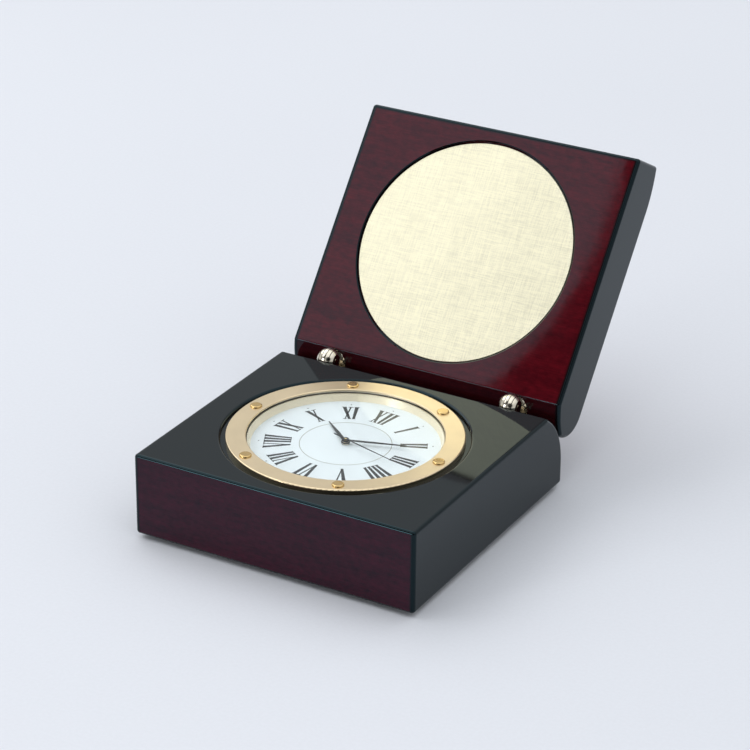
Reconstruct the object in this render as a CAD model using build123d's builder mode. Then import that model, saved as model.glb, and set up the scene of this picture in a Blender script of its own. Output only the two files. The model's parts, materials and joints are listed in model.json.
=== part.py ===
"""Desk clock in a hinged wooden box, as an assembly of separate pieces.

Millimetres. The origin is the centre of the plane that the four feet stand on, +X runs along the
hinge, +Y points to the back and +Z up. The lid stands open on its stop, and the hands show about
eleven minutes past ten.
"""

import os
from math import acos, atan2, cos, degrees, pi, radians, sin, sqrt

from build123d import *

os.makedirs("parts", exist_ok=True)

UPRIGHT = (Align.CENTER, Align.CENTER, Align.MIN)

# ---------------------------------------------------------------- box and feet

box_width = 95.0
box_depth = 94.0
base_height = 26.5
lid_thickness = 18.6
edge_radius = 1.1

# the lid's front leans out from its inner face to a lip, then rounds into its crown
lid_front_undercut = 2.0
lid_lip_reach = 0.9
lid_lip_height = 15.3
lid_crown_reach = 15.0

foot_height = 1.5
foot_radius = 5.0
foot_edge = 0.5
foot_inset = 9.5

# round-over along the back, where the lid swings past the base
back_round_radius = 22.0
back_round_reach = 11.0
lid_nose_depth = 8.0
lid_back_slope = 9.6

# ---------------------------------------------------------------- hinge

lid_opening = 128.5
closed_gap = 0.5
hinge_inset = 6.8
hinge_drop = 1.0
hinge_spacing = 64.6
barrel_radius = 4.1
barrel_clearance = 0.05
base_barrel_depth = 13.0
lid_barrel_depth = 12.6
barrel_trim = 0.2
barrel_recess = 2.0
leaf_count = 5
leaf_thickness = 1.0
leaf_gap = 0.2
knuckle_radius = 3.7
leaf_half_width = 1.7
leaf_reach = 8.8
slot_end_gap = 0.1
hinge_pin_radius = 0.9
hinge_pin_overhang = 0.05
hinge_pin_clearance = 0.03

# ---------------------------------------------------------------- clock insert

clock_y = -4.2
insert_turn = 3.6
bezel_flange = 5.0
bezel_cover = 0.6
bezel_thickness = 1.6
bezel_proud = 0.5
bezel_lip = 0.5
bezel_edge = 0.35
seat_clearance = 1.5
seat_edge_radius = 1.0
case_wall = 1.0
case_ledge = 1.5
case_length = 13.4
case_floor = 1.0
grip_thickness = 0.95
grip_clearance = 0.05
grip_length = 7.0
grip_drop = 3.0
bezel_screw_count = 6
bezel_screw_inset = 3.1
bezel_screw_head_radius = 1.9
bezel_screw_dome_height = 0.55
bezel_screw_edge_radius = 0.45
bezel_screw_shank_radius = 0.8
bezel_screw_length = 1.0
crystal_inset = 0.6
crystal_thickness = 1.0
gasket_width = 0.4
fit_clearance = 0.05

dial_depth = 3.8
dial_thickness = 0.4
dial_clearance = 0.1
reflector_width = 1.3
reflector_rim = 0.35

# hands: length, width at the hub, tail, hub radius and height over the dial
hand_thickness = 0.2
hand_taper_start = 0.45
hand_tip_share = 0.25
hour_hand = (14.4, 1.05, 0.0, 1.4, 0.5)
minute_hand = (18.6, 0.85, 0.0, 1.2, 1.05)
second_hand = (18.4, 0.3, 5.0, 0.9, 1.5)
shown_hours = 10
shown_minutes = 11
shown_seconds = 17

# ---------------------------------------------------------------- movement

holder_thickness = 1.7
holder_window = (12.0, 17.5)
holder_window_shift = 3.25
movement_size = (27.0, 28.0)
movement_corner = 2.0
main_plate_thickness = 1.2
cover_wall = 1.0
cover_depth = 6.4
cover_floor = 0.8
bridge_thickness = 0.8
boss_radius = 1.4
screw_radius = 0.7
screw_head_radius = 1.3
screw_head_height = 0.4
screw_inset = 1.9
screw_grip = 1.3

# teeth of the train, and the distances between its arbors
second_teeth = 36
second_pinion_teeth = 8
third_teeth = 60
third_pinion_teeth = 8
centre_teeth = 64
cannon_teeth = 12
minute_work_teeth = 36
minute_work_pinion_teeth = 10
hour_teeth = 40
rotor_teeth = 6
intermediate_teeth = 30
intermediate_pinion_teeth = 6
knob_teeth = 12
third_distance = 5.1
minute_work_distance = 4.8
intermediate_distance = 5.2
rotor_distance = 3.6

# tooth form, in modules and in shares of the pitch
addendum = 0.85
dedendum = 1.15
tooth_root_share = 0.50
tooth_pitch_share = 0.40
tooth_tip_share = 0.18

wheel_thickness = 0.35
pinion_overhang = 0.175
arbor_radius = 0.3
arbor_clearance = 0.04
arbor_end_gap = 0.2
second_arbor_radius = 0.35
tube_wall = 0.3
hand_hole_clearance = 0.01
dial_hole_clearance = 0.2
magnet_radius = 1.8
magnet_height = 1.6

# heights of the wheels' undersides over the bridge, and of the motion work over the main plate
intermediate_level = 0.6
second_level = 1.5
third_level = 2.8
centre_level = 4.0
magnet_level = 1.7
cannon_level = 0.05
minute_work_level = 0.15
hour_level = 0.7

stator_level = 2.1
stator_thickness = 0.7
stator_gap = 0.3
stator_ring = 0.9
stator_leg = 1.6
stator_arm_y = -5.8
coil_centre = (1.0, -9.5)
coil_length = 12.0
coil_radius = 2.0
core_length = 19.2
core_width = 1.2
bobbin_wall = 0.4
bobbin_clearance = 0.05
bobbin_flange = 0.8
bobbin_flange_radius = 2.25
board_size = (7.6, 6.6)
board_thickness = 0.6
board_wall_gaps = (2.5, 1.0)
can_radius = 0.95
can_length = 6.0
can_offset = 2.1
chip_size = 3.0
chip_height = 0.8
chip_offset = 1.3

knob_radius = 4.0
knob_height = 1.5
knob_gap = 0.3
knob_shaft_radius = 0.6
knob_grooves = 24
knob_groove_radius = 0.25

battery_gap = 0.5
battery_case_gap = 1.3
battery_radius = 5.8
battery_height = 5.4
battery_step = 0.6
battery_rim = 1.0
battery_rest = 0.3
battery_tube_wall = 0.7
battery_clearance = 0.1
battery_tube_slot = 2.6
contact_width = 2.4
contact_thickness = 0.25
contact_reach = 7.0
hatch_radius = 6.4
hatch_slot = (5.0, 1.0, 0.4)

# ---------------------------------------------------------------- plate in the lid

plate_radius = 36.1
plate_thickness = 0.8
plate_edge = 0.15
recess_depth = 1.6
recess_clearance = 0.45
recess_edge = 0.3
adhesive_thickness = 0.1
adhesive_margin = 2.0

# ---------------------------------------------------------------- heights and places that follow

base_bottom = foot_height
base_top = base_bottom + base_height
lid_bottom = base_top + closed_gap
lid_top = lid_bottom + lid_thickness
lid_front_y = -box_depth / 2 + lid_front_undercut
lid_lip_y = -box_depth / 2 - lid_lip_reach
lid_crown_y = lid_lip_y + lid_crown_reach
bezel_top = base_top + bezel_proud
bezel_bottom = bezel_top - bezel_thickness
case_bottom = bezel_bottom - case_length
case_inside = case_bottom + case_floor
battery_tube_radius = battery_radius + battery_clearance + battery_tube_wall
battery_x = movement_size[0] / 2 + battery_gap + battery_tube_radius
ledge_radius = battery_x + battery_tube_radius + battery_case_gap
case_inner_radius = ledge_radius + case_ledge
case_radius = case_inner_radius + case_wall
bezel_radius = case_radius + bezel_flange
bezel_screw_circle = bezel_radius - bezel_screw_inset
crystal_radius = case_radius - crystal_inset
bezel_opening = crystal_radius - bezel_cover
dial_radius = case_inner_radius - dial_clearance
dial_visible_radius = dial_radius - reflector_width
bore_radius = case_radius + grip_thickness + grip_clearance
knob_top = case_bottom - knob_gap
knob_bottom = knob_top - knob_height
bore_floor = knob_bottom - knob_gap
dial_top = bezel_top - dial_depth
dial_bottom = dial_top - dial_thickness
holder_bottom = dial_bottom - holder_thickness
main_plate_bottom = holder_bottom - main_plate_thickness
cover_bottom = main_plate_bottom - cover_depth
bridge_bottom = cover_bottom + cover_floor
bridge_top = bridge_bottom + bridge_thickness
battery_bottom = case_inside + battery_rest
battery_top = battery_bottom + battery_height

hinge_y = box_depth / 2 - hinge_inset
hinge_z = base_top - hinge_drop
hinge_xs = (-hinge_spacing / 2, hinge_spacing / 2)
stack_width = leaf_count * leaf_thickness + (leaf_count - 1) * leaf_gap
slot_width = stack_width + 2 * leaf_gap
round_drop = sqrt(back_round_radius**2 - (back_round_radius - back_round_reach) ** 2)
round_centre_y = box_depth / 2 - back_round_radius

# Places inside the movement are counted from the clock's own axis, with +Y towards XII.
centre_place = (0, 0)
third_place = (third_distance, 0)
minute_work_place = (0, minute_work_distance)
intermediate_place = (-intermediate_distance, 0)
rotor_place = (-intermediate_distance - rotor_distance, 0)
cannon_module = 2 * minute_work_distance / (cannon_teeth + minute_work_teeth)
knob_distance = cannon_module * (minute_work_teeth + knob_teeth) / 2
knob_place = (0, minute_work_distance + knob_distance)
battery_place = (battery_x, 0)
board_place = tuple(
    movement_side / 2 - cover_wall - wall_gap - board_side / 2
    for movement_side, wall_gap, board_side in zip(movement_size, board_wall_gaps, board_size)
)
chip_place = (board_place[0], board_place[1] - chip_offset)
can_place = (board_place[0], board_place[1] + can_offset)
screw_places = [
    (side * (movement_size[0] / 2 - screw_inset), end * (movement_size[1] / 2 - screw_inset))
    for side in (-1, 1)
    for end in (-1, 1)
]
second_module = 2 * third_distance / (second_pinion_teeth + third_teeth)
third_module = 2 * third_distance / (third_pinion_teeth + centre_teeth)
hour_module = 2 * minute_work_distance / (minute_work_pinion_teeth + hour_teeth)
rotor_module = 2 * rotor_distance / (rotor_teeth + intermediate_teeth)
intermediate_module = 2 * intermediate_distance / (intermediate_pinion_teeth + second_teeth)

tube_bore = second_arbor_radius + arbor_clearance
tube_radius = tube_bore + tube_wall
pipe_bore = tube_radius + arbor_clearance
pipe_radius = pipe_bore + tube_wall
dial_hole_radius = pipe_radius + dial_hole_clearance

second_angle = shown_seconds * 360 / 60
minute_angle = (shown_minutes + shown_seconds / 60) * 360 / 60
hour_angle = (shown_hours + minute_angle / 360) * 360 / 12


# ---------------------------------------------------------------- shapes that repeat


def clock_plane(height, place=(0, 0)):
    """A level plane with its origin at a place in the clock, and its +Y towards XII."""
    turn = radians(-insert_turn)
    x = place[0] * cos(turn) - place[1] * sin(turn)
    y = clock_y + place[0] * sin(turn) + place[1] * cos(turn)
    return Plane((x, y, height)).rotated((0, 0, -insert_turn))


def post(place, radius, bottom, top):
    """A plain cylinder standing at a place in the clock."""
    with BuildPart() as cylinder:
        with BuildSketch(clock_plane(bottom, place)):
            Circle(radius)
        extrude(amount=top - bottom)
    return cylinder.part


def hole(place, radius, bottom, top):
    """The hole for a shaft or screw of this radius, with its running clearance."""
    return post(place, radius + arbor_clearance, bottom, top)


def slab(place, width, length, bottom, top, corner=0.0):
    """A level block centred on a place in the clock, with rounded upright edges."""
    with BuildPart() as block:
        with BuildSketch(clock_plane(bottom, place)):
            if corner > 0:
                RectangleRounded(width, length, corner)
            else:
                Rectangle(width, length)
        extrude(amount=top - bottom)
    return block.part


def turned(*corners):
    """A ring or disc turned about the clock's axis from corners given as (radius, height)."""
    with BuildPart() as ring:
        with BuildSketch(Plane.XZ.offset(-clock_y)):
            with BuildLine():
                Polyline(*corners, close=True)
            make_face()
        revolve(axis=Axis((0, clock_y, 0), (0, 0, 1)))
    return ring.part


def band(inner, outer, bottom, top):
    """A plain ring about the clock's axis."""
    return turned((inner, bottom), (outer, bottom), (outer, top), (inner, top))


def toothed_disc(place, teeth, module, bottom, top, phase=0.0):
    """A wheel with straight-sided teeth, one of them centred on the angle phase."""
    pitch_radius = teeth * module / 2
    root_radius = pitch_radius - dedendum * module
    tip_radius = pitch_radius + addendum * module
    flank = (
        (-tooth_root_share / 2, root_radius),
        (-tooth_pitch_share / 2, pitch_radius),
        (-tooth_tip_share / 2, tip_radius),
        (tooth_tip_share / 2, tip_radius),
        (tooth_pitch_share / 2, pitch_radius),
        (tooth_root_share / 2, root_radius),
    )
    corners = []
    for tooth in range(teeth):
        for share, radius in flank:
            angle = radians(phase) + (tooth + share) * 2 * pi / teeth
            corners.append((radius * cos(angle), radius * sin(angle)))
    with BuildPart() as disc:
        with BuildSketch(clock_plane(bottom, place)):
            with BuildLine():
                Polyline(*corners, close=True)
            make_face()
        extrude(amount=top - bottom)
    return disc.part


def tooth_towards(start, end):
    """The phase that points a tooth of the wheel at start towards the arbor at end."""
    return degrees(atan2(end[1] - start[1], end[0] - start[0]))


def gap_towards(start, end, teeth):
    """The phase that points a gap of the wheel at start towards the arbor at end."""
    return tooth_towards(start, end) + 180 / teeth


def tapered_hand(sizes, hole_radius, angle):
    """A hand with its hub, over the dial, pointing at an angle clockwise from XII."""
    length, width, tail, hub, height = sizes
    bottom = dial_top + height
    shoulder = length * hand_taper_start
    tip = width * hand_tip_share / 2
    with BuildPart() as hand:
        with BuildSketch(clock_plane(bottom).rotated((0, 0, -angle))):
            with BuildLine():
                Polyline(
                    (-width / 2, -tail),
                    (width / 2, -tail),
                    (width / 2, shoulder),
                    (tip, length),
                    (-tip, length),
                    (-width / 2, shoulder),
                    close=True,
                )
            make_face()
            Circle(hub)
            Circle(hole_radius, mode=Mode.SUBTRACT)
        extrude(amount=hand_thickness)
    return hand.part


def base_prism(inset=0.0):
    """The base without its holes, every face moved in by inset."""
    back = box_depth / 2 - inset
    bottom = base_bottom + inset
    top = base_top - inset
    radius = back_round_radius - inset
    centre_z = base_top - round_drop
    kink_y = round_centre_y + sqrt(radius**2 - (top - centre_z) ** 2)
    middle = (round_centre_y + radius * cos(pi / 6), centre_z + radius * sin(pi / 6))
    with BuildPart() as prism:
        with BuildSketch(Plane.YZ):
            with BuildLine():
                Polyline((back, centre_z), (back, bottom), (-back, bottom), (-back, top), (kink_y, top))
                ThreePointArc((kink_y, top), middle, (back, centre_z))
            make_face()
        extrude(amount=box_width / 2 - inset, both=True)
    return prism.part


def lid_prism(inset=0.0):
    """The closed lid without its holes, every face moved in by inset."""
    front = lid_front_y + inset
    lip = (lid_lip_y + inset, lid_bottom + lid_lip_height)
    bottom = lid_bottom + inset
    top = lid_top - inset
    radius = back_round_radius - inset
    centre_z = lid_bottom + round_drop
    nose_z = lid_bottom + lid_nose_depth
    middle_z = (bottom + nose_z) / 2
    kink_y, middle_y, nose_y = (
        round_centre_y + sqrt(radius**2 - (centre_z - height) ** 2) for height in (bottom, middle_z, nose_z)
    )
    rise = top - nose_z
    slope_y = nose_y - lid_back_slope
    outer_radius = (lid_back_slope**2 + rise**2) / (2 * rise)
    half_turn = acos(1 - rise / outer_radius) / 2
    outer_middle = (slope_y + outer_radius * sin(half_turn), top - outer_radius * (1 - cos(half_turn)))
    crown_y = lid_crown_y + inset
    crown_drop = top - lip[1]
    crown_radius = (lid_crown_reach**2 + crown_drop**2) / (2 * crown_drop)
    crown_half_turn = acos(1 - crown_drop / crown_radius) / 2
    crown_middle = (
        crown_y - crown_radius * sin(crown_half_turn),
        top - crown_radius * (1 - cos(crown_half_turn)),
    )
    with BuildPart() as prism:
        with BuildSketch(Plane.YZ):
            with BuildLine():
                Line((slope_y, top), (crown_y, top))
                ThreePointArc((crown_y, top), crown_middle, lip)
                Polyline(lip, (front, bottom), (kink_y, bottom))
                ThreePointArc((kink_y, bottom), (middle_y, middle_z), (nose_y, nose_z))
                ThreePointArc((nose_y, nose_z), outer_middle, (slope_y, top))
            make_face()
        extrude(amount=box_width / 2 - inset, both=True)
    return prism.part


def sharp_edges(part, *seams):
    """All edges but those along X at the seams, where an arc runs into a flat face."""
    points = [Vector(0, *seam) for seam in seams]
    return part.edges().filter_by(
        lambda edge: all((edge.center() - point).length > edge_radius / 10 for point in points)
    )


def slotted_barrels(face, end, slot_end, envelope):
    """Two barrels set back from the wood's face, slotted for the leaves and trimmed flush."""
    start = face + barrel_recess if end > face else face - barrel_recess
    low, high = min(start, end), max(start, end)
    slot_low, slot_high = min(start, slot_end), max(start, slot_end)
    with BuildPart() as barrels:
        with Locations(*[(x, hinge_y, low) for x in hinge_xs]):
            Cylinder(barrel_radius, high - low, align=UPRIGHT)
        with Locations(*[(x, hinge_y, slot_low) for x in hinge_xs]):
            Box(slot_width, 2 * barrel_radius, slot_high - slot_low, align=UPRIGHT, mode=Mode.SUBTRACT)
        add(envelope, mode=Mode.INTERSECT)
    return barrels.part


def barrel_bores(face, end):
    """The holes that the barrels are pressed into."""
    low, high = min(face, end), max(face, end)
    with BuildPart() as bores:
        with Locations(*[(x, hinge_y, low) for x in hinge_xs]):
            Cylinder(barrel_radius + barrel_clearance, high - low, align=UPRIGHT)
    return bores.part


def knuckle_leaves(hinge_x, first, shank_side):
    """Every second leaf of one hinge, from number first, cut from a ball on a flat shank."""
    sides = [
        (number - leaf_count / 2) * leaf_thickness + (number - (leaf_count - 1) / 2) * leaf_gap
        for number in range(first, leaf_count, 2)
    ]
    planes = [
        Plane(origin=(hinge_x + side, hinge_y, hinge_z), x_dir=(0, 1, 0), z_dir=(1, 0, 0)) for side in sides
    ]
    with BuildPart() as ball_on_shank:
        with Locations((hinge_x, hinge_y, hinge_z)):
            Sphere(knuckle_radius)
        with Locations((hinge_x, hinge_y, hinge_z + shank_side * leaf_reach / 2)):
            Box(stack_width, 2 * leaf_half_width, leaf_reach)
    with BuildPart() as leaves:
        with BuildSketch(*planes):
            Circle(leaf_reach + knuckle_radius)
            Circle(hinge_pin_radius + hinge_pin_clearance, mode=Mode.SUBTRACT)
        extrude(amount=leaf_thickness)
        add(ball_on_shank.part, mode=Mode.INTERSECT)
    return leaves.part


def hinge_leaves(first, shank_side):
    """Every second leaf of both hinges, with its shank pointing down (-1) or up (1)."""
    with BuildPart() as leaves:
        for hinge_x in hinge_xs:
            add(knuckle_leaves(hinge_x, first, shank_side))
    return leaves.part


def opened(piece):
    """A piece of the lid, drawn closed, turned open about the hinge pins."""
    return piece.rotate(Axis((0, hinge_y, hinge_z), (1, 0, 0)), -lid_opening)


def save(piece, name):
    """Label a finished piece and write it to its own file."""
    piece.label = name
    export_step(piece, f"parts/{name}.step")


# ---------------------------------------------------------------- box

with BuildPart() as base_body:
    add(base_prism())
    fillet(sharp_edges(base_body, (box_depth / 2, base_top - round_drop)), edge_radius)
    with Locations((0, clock_y, bezel_bottom)):
        Cylinder(bezel_radius + seat_clearance, bezel_thickness, align=UPRIGHT, mode=Mode.SUBTRACT)
    fillet(base_body.edges().filter_by(GeomType.CIRCLE).group_by(Axis.Z)[-1], seat_edge_radius)
    with Locations((0, clock_y, bore_floor)):
        Cylinder(bore_radius, bezel_bottom - bore_floor, align=UPRIGHT, mode=Mode.SUBTRACT)
    add(barrel_bores(base_top, hinge_z - base_barrel_depth), mode=Mode.SUBTRACT)
save(base_body.part, "base_body")

with BuildPart() as feet:
    with BuildSketch():
        with GridLocations(box_width - 2 * foot_inset, box_depth - 2 * foot_inset, 2, 2):
            Circle(foot_radius)
    extrude(amount=foot_height)
    fillet(feet.edges().group_by(Axis.Z)[0], foot_edge)
save(feet.part, "feet")

with BuildPart() as lid_body:
    add(lid_prism())
    nose_y = round_centre_y + sqrt(back_round_radius**2 - (round_drop - lid_nose_depth) ** 2)
    crown_seams = [(nose_y - lid_back_slope, lid_top), (lid_crown_y, lid_top)]
    fillet(sharp_edges(lid_body, *crown_seams), edge_radius)
    with Locations((0, clock_y, lid_bottom)):
        Cylinder(plate_radius + recess_clearance, recess_depth, align=UPRIGHT, mode=Mode.SUBTRACT)
    recess_rim = lid_body.edges().filter_by(GeomType.CIRCLE).group_by(Axis.Z)[0]
    chamfer(recess_rim, recess_edge)
    add(barrel_bores(lid_bottom, hinge_z + lid_barrel_depth), mode=Mode.SUBTRACT)
save(opened(lid_body.part), "lid_body")

plate_face = lid_bottom + recess_depth - adhesive_thickness - plate_thickness
with BuildPart() as lid_plate:
    with Locations((0, clock_y, plate_face)):
        Cylinder(plate_radius, plate_thickness, align=UPRIGHT)
    chamfer(lid_plate.edges().group_by(Axis.Z)[0], plate_edge)
save(opened(lid_plate.part), "lid_plate")

with BuildPart() as lid_plate_adhesive:
    with Locations((0, clock_y, plate_face + plate_thickness)):
        Cylinder(plate_radius - adhesive_margin, adhesive_thickness, align=UPRIGHT)
save(opened(lid_plate_adhesive.part), "lid_plate_adhesive")

# ---------------------------------------------------------------- hinge pieces

slot_depth = leaf_reach + slot_end_gap
base_barrels = slotted_barrels(
    base_top, hinge_z - base_barrel_depth, hinge_z - slot_depth, base_prism(barrel_trim)
)
save(base_barrels, "hinge_base_barrels")
lid_barrels = slotted_barrels(
    lid_bottom, hinge_z + lid_barrel_depth, hinge_z + slot_depth, lid_prism(barrel_trim)
)
save(opened(lid_barrels), "hinge_lid_barrels")
save(hinge_leaves(0, -1), "hinge_base_leaves")
save(opened(hinge_leaves(1, 1)), "hinge_lid_leaves")

with BuildPart() as hinge_pins:
    for pin_x in hinge_xs:
        with BuildSketch(Plane.YZ.offset(pin_x)):
            with Locations((hinge_y, hinge_z)):
                Circle(hinge_pin_radius)
        extrude(amount=stack_width / 2 + hinge_pin_overhang, both=True)
save(hinge_pins.part, "hinge_pins")

# ---------------------------------------------------------------- clock insert

pocket_radius = crystal_radius + gasket_width + 2 * fit_clearance
with BuildPart() as bezel:
    add(
        turned(
            (pocket_radius, bezel_bottom),
            (bezel_radius, bezel_bottom),
            (bezel_radius, bezel_top),
            (bezel_opening, bezel_top),
            (bezel_opening, bezel_top - bezel_lip),
            (pocket_radius, bezel_top - bezel_lip),
        )
    )
    fillet(bezel.edges().group_by(Axis.Z)[-1], bezel_edge)
    with BuildSketch(clock_plane(bezel_top)):
        with PolarLocations(bezel_screw_circle, bezel_screw_count):
            Circle(bezel_screw_shank_radius + arbor_clearance)
    extrude(amount=-bezel_screw_length, mode=Mode.SUBTRACT)
save(bezel.part, "bezel")

with BuildPart() as bezel_screws:
    with BuildSketch(clock_plane(bezel_top)):
        with PolarLocations(bezel_screw_circle, bezel_screw_count):
            Circle(bezel_screw_head_radius)
    extrude(amount=bezel_screw_dome_height)
    fillet(bezel_screws.edges().group_by(Axis.Z)[-1], bezel_screw_edge_radius)
    with BuildSketch(clock_plane(bezel_top)):
        with PolarLocations(bezel_screw_circle, bezel_screw_count):
            Circle(bezel_screw_shank_radius)
    extrude(amount=-bezel_screw_length)
save(bezel_screws.part, "bezel_screws")

with BuildPart() as crystal:
    add(post(centre_place, crystal_radius, bezel_bottom, bezel_bottom + crystal_thickness))
save(crystal.part, "crystal")

gasket_inner = crystal_radius + fit_clearance
save(
    band(gasket_inner, gasket_inner + gasket_width, bezel_bottom, bezel_top - bezel_lip),
    "crystal_gasket",
)

reflector_ring = turned(
    (dial_visible_radius, dial_top),
    (dial_radius, dial_top),
    (dial_radius, bezel_bottom),
    (dial_radius - reflector_rim, bezel_bottom),
)
save(reflector_ring, "reflector_ring")

save(band(dial_hole_radius, dial_radius, dial_bottom, dial_top), "dial")

with BuildPart() as insert_case:
    add(
        turned(
            (0, case_bottom),
            (case_radius, case_bottom),
            (case_radius, bezel_bottom),
            (case_inner_radius, bezel_bottom),
            (case_inner_radius, holder_bottom),
            (ledge_radius, holder_bottom),
            (ledge_radius, case_inside),
            (0, case_inside),
        )
    )
    add(hole(knob_place, knob_shaft_radius, case_bottom, case_inside), mode=Mode.SUBTRACT)
    add(post(battery_place, hatch_radius + fit_clearance, case_bottom, case_inside), mode=Mode.SUBTRACT)
save(insert_case.part, "insert_case")

grip_top = bezel_bottom - grip_drop
save(band(case_radius, case_radius + grip_thickness, grip_top - grip_length, grip_top), "insert_grip_ring")

with BuildPart() as movement_holder:
    add(band(0, case_inner_radius - fit_clearance, holder_bottom, dial_bottom))
    add(
        slab((0, holder_window_shift), *holder_window, holder_bottom, dial_bottom, movement_corner),
        mode=Mode.SUBTRACT,
    )
    screw_hole_top = holder_bottom + screw_grip + arbor_end_gap
    for place in screw_places:
        add(hole(place, screw_radius, holder_bottom, screw_hole_top), mode=Mode.SUBTRACT)
save(movement_holder.part, "movement_holder")

# ---------------------------------------------------------------- movement frame

pivots = [
    (third_place, arbor_radius),
    (intermediate_place, arbor_radius),
    (rotor_place, arbor_radius),
    (knob_place, knob_shaft_radius),
]

with BuildPart() as main_plate:
    add(slab(centre_place, *movement_size, main_plate_bottom, holder_bottom, movement_corner))
    screws = [(spot, screw_radius) for spot in screw_places]
    for place, radius in [*pivots, (centre_place, tube_radius), *screws]:
        add(hole(place, radius, main_plate_bottom, holder_bottom), mode=Mode.SUBTRACT)
    add(post(minute_work_place, arbor_radius, holder_bottom, dial_bottom - arbor_end_gap))
save(main_plate.part, "main_plate")

with BuildPart() as train_bridge:
    bridge_size = [side - 2 * cover_wall - 2 * fit_clearance for side in movement_size]
    add(slab(centre_place, *bridge_size, bridge_bottom, bridge_top, movement_corner - cover_wall))
    bosses = [(spot, boss_radius) for spot in screw_places]
    for place, radius in [*pivots, (centre_place, second_arbor_radius), *bosses]:
        add(hole(place, radius, bridge_bottom, bridge_top), mode=Mode.SUBTRACT)
save(train_bridge.part, "train_bridge")

with BuildPart() as movement_cover:
    add(slab(centre_place, *movement_size, cover_bottom, main_plate_bottom, movement_corner))
    cavity_size = [side - 2 * cover_wall for side in movement_size]
    add(
        slab(centre_place, *cavity_size, bridge_bottom, main_plate_bottom, movement_corner - cover_wall),
        mode=Mode.SUBTRACT,
    )
    for place in screw_places:
        add(post(place, boss_radius, bridge_bottom, main_plate_bottom))
    for place in screw_places:
        add(hole(place, screw_radius, cover_bottom, main_plate_bottom), mode=Mode.SUBTRACT)
    add(hole(knob_place, knob_shaft_radius, cover_bottom, bridge_bottom), mode=Mode.SUBTRACT)
save(movement_cover.part, "movement_cover")

with BuildPart() as movement_screws:
    for place in screw_places:
        add(post(place, screw_head_radius, cover_bottom - screw_head_height, cover_bottom))
        add(post(place, screw_radius, cover_bottom, holder_bottom + screw_grip))
save(movement_screws.part, "movement_screws")

# ---------------------------------------------------------------- motor

stator_bottom = bridge_top + stator_level
stator_top = stator_bottom + stator_thickness
core_z = (stator_bottom + stator_top) / 2
core_end = core_length / 2
ring_outer = magnet_radius + stator_gap + stator_ring

with BuildPart() as stator:
    with BuildSketch(clock_plane(stator_bottom)):
        with Locations(rotor_place):
            Circle(ring_outer)
        with Locations((0, coil_centre[1])):
            Rectangle(core_length, core_width)
        with Locations((-core_end + stator_leg / 2, coil_centre[1] / 2)):
            Rectangle(stator_leg, -coil_centre[1] + core_width)
        with Locations((core_end - stator_leg / 2, (coil_centre[1] + stator_arm_y) / 2)):
            Rectangle(stator_leg, stator_arm_y - coil_centre[1] + core_width)
        pole_x = rotor_place[0] + ring_outer - stator_leg
        with Locations(((core_end + pole_x) / 2, stator_arm_y)):
            Rectangle(core_end - pole_x, stator_leg)
        with Locations((pole_x + stator_leg / 2, stator_arm_y / 2)):
            Rectangle(stator_leg, -stator_arm_y)
        with Locations(rotor_place):
            Circle(magnet_radius + stator_gap, mode=Mode.SUBTRACT)
    extrude(amount=stator_thickness)
save(stator.part, "stator")

coil_plane = clock_plane(core_z, coil_centre)
coil_axis_plane = Plane(origin=coil_plane.origin, x_dir=coil_plane.y_dir, z_dir=coil_plane.x_dir)
tunnel_width = core_width + 2 * bobbin_clearance
tunnel_height = stator_thickness + 2 * bobbin_clearance
tube_size = (tunnel_width + 2 * bobbin_wall, tunnel_height + 2 * bobbin_wall)

with BuildPart() as coil_bobbin:
    with BuildSketch(coil_axis_plane):
        Rectangle(*tube_size)
    extrude(amount=coil_length / 2, both=True)
    for side in (-1, 1):
        with BuildSketch(coil_axis_plane.offset(side * (coil_length + bobbin_flange) / 2)):
            Circle(bobbin_flange_radius)
        extrude(amount=bobbin_flange / 2, both=True)
    with BuildSketch(coil_axis_plane):
        Rectangle(tunnel_width, tunnel_height)
    extrude(amount=coil_length / 2 + bobbin_flange, both=True, mode=Mode.SUBTRACT)
save(coil_bobbin.part, "coil_bobbin")

with BuildPart() as coil_winding:
    with BuildSketch(coil_axis_plane):
        Circle(coil_radius)
        Rectangle(*tube_size, mode=Mode.SUBTRACT)
    extrude(amount=coil_length / 2, both=True)
save(coil_winding.part, "coil_winding")

board_top = bridge_top + board_thickness
save(slab(board_place, *board_size, bridge_top, board_top), "circuit_board")
save(slab(chip_place, chip_size, chip_size, board_top, board_top + chip_height), "control_chip")

can_plane = clock_plane(board_top + can_radius, can_place)
with BuildPart() as quartz_can:
    with BuildSketch(Plane(origin=can_plane.origin, x_dir=can_plane.y_dir, z_dir=can_plane.x_dir)):
        Circle(can_radius)
    extrude(amount=can_length / 2, both=True)
save(quartz_can.part, "quartz_can")

# ---------------------------------------------------------------- wheels

arbor_bottom = bridge_bottom + arbor_end_gap
arbor_top = holder_bottom - arbor_end_gap
intermediate_z = bridge_top + intermediate_level
second_z = bridge_top + second_level
third_z = bridge_top + third_level
centre_z = bridge_top + centre_level
minute_work_z = holder_bottom + minute_work_level
hour_z = holder_bottom + hour_level
magnet_z = bridge_top + magnet_level
cannon_bottom = holder_bottom + cannon_level
cannon_top = minute_work_z + wheel_thickness + cannon_level


def wheel(place, teeth, module, bottom, phase):
    """A thin wheel."""
    return toothed_disc(place, teeth, module, bottom, bottom + wheel_thickness, phase)


def pinion(place, teeth, module, driven_bottom, phase):
    """A pinion that stands a little over both faces of the wheel that it drives."""
    top = driven_bottom + wheel_thickness + pinion_overhang
    return toothed_disc(place, teeth, module, driven_bottom - pinion_overhang, top, phase)


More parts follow.
